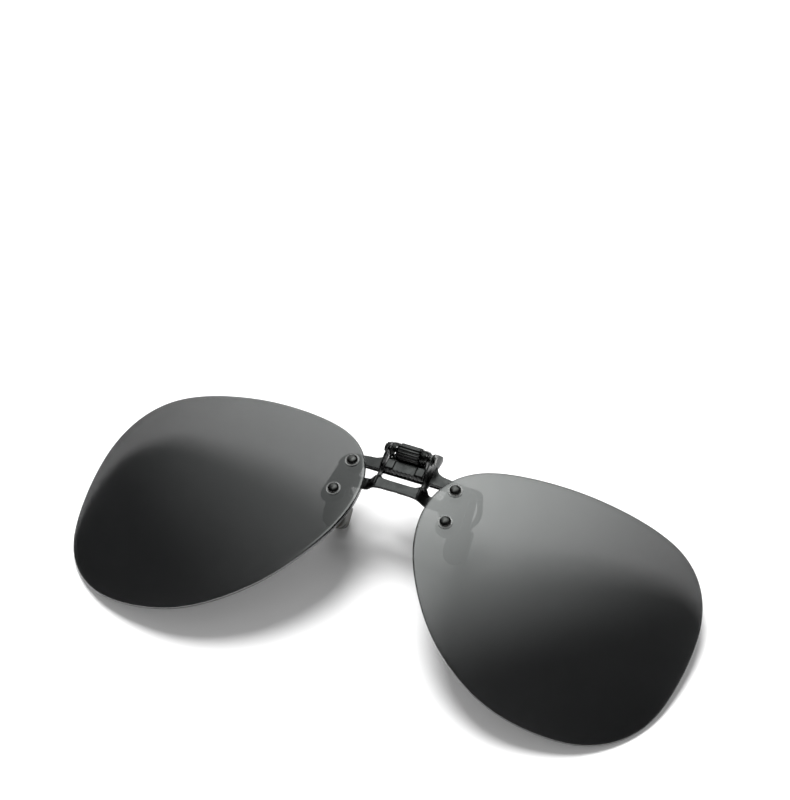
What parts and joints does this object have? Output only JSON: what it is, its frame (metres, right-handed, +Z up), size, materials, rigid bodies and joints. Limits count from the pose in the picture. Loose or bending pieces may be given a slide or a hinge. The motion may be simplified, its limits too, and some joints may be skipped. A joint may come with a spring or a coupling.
{
  "type": "clip-on flip-up sunglass lenses",
  "caption": "Rimless aviator sunglass lenses on a metal bridge that flips up about a ridged hinge, with a sprung clip and silicone-sleeved legs to grip glasses.",
  "frame": {"origin": "middle of the bottom of the object's box, on the table that it lies on", "axes": "+X along the span of the two lenses, to the wearer's left side; +Y toward the lens tops and the hinge; +Z up, the way the lens fronts face"},
  "size_m": [0.1358, 0.0526, 0.0219],
  "materials": {
    "tinted_lens": "polished polarised plastic, smoke grey",
    "black_metal": "satin black plated",
    "clear_plastic": "clear moulded",
    "spring_steel": "blackened spring wire",
    "silicone": "smoky matt silicone"
  },
  "bodies": {
    "rear_jaw": {"rear_jaw": "black_metal", "left_rear_sleeve": "silicone", "right_rear_sleeve": "silicone"},
    "front_jaw": {"front_jaw": "black_metal", "left_front_sleeve": "silicone", "right_front_sleeve": "silicone", "flip_axle": "black_metal", "left_axle_cap": "black_metal", "right_axle_cap": "black_metal", "grip_barrel": "black_metal", "left_torsion_spring": "spring_steel", "right_torsion_spring": "spring_steel"},
    "lens_group": {"lens_bridge": "black_metal", "left_lens": "tinted_lens", "right_lens": "tinted_lens", "left_rivet_upper": "black_metal", "left_rivet_lower": "black_metal", "right_rivet_upper": "black_metal", "right_rivet_lower": "black_metal", "left_bush_upper": "clear_plastic", "left_bush_lower": "clear_plastic", "right_bush_upper": "clear_plastic", "right_bush_lower": "clear_plastic", "left_rear_washer_upper": "clear_plastic", "left_rear_washer_lower": "clear_plastic", "right_rear_washer_upper": "clear_plastic", "right_rear_washer_lower": "clear_plastic", "left_wave_washer": "spring_steel", "right_wave_washer": "spring_steel"}
  },
  "joints": [
    {"name": "clamp", "type": "hinge", "parent": "rear_jaw", "child": "front_jaw", "pos_m": [0, 0.01949, 0.02007], "axis": [-1, 0, 0], "range_deg": [0, 22], "stiffness_Nm_per_rad": 0.05, "springref_deg": -29.79},
    {"name": "flip", "type": "hinge", "parent": "front_jaw", "child": "lens_group", "pos_m": [0, 0.01949, 0.02007], "axis": [-1, 0, 0], "range_deg": [0, 90]}
  ]
}
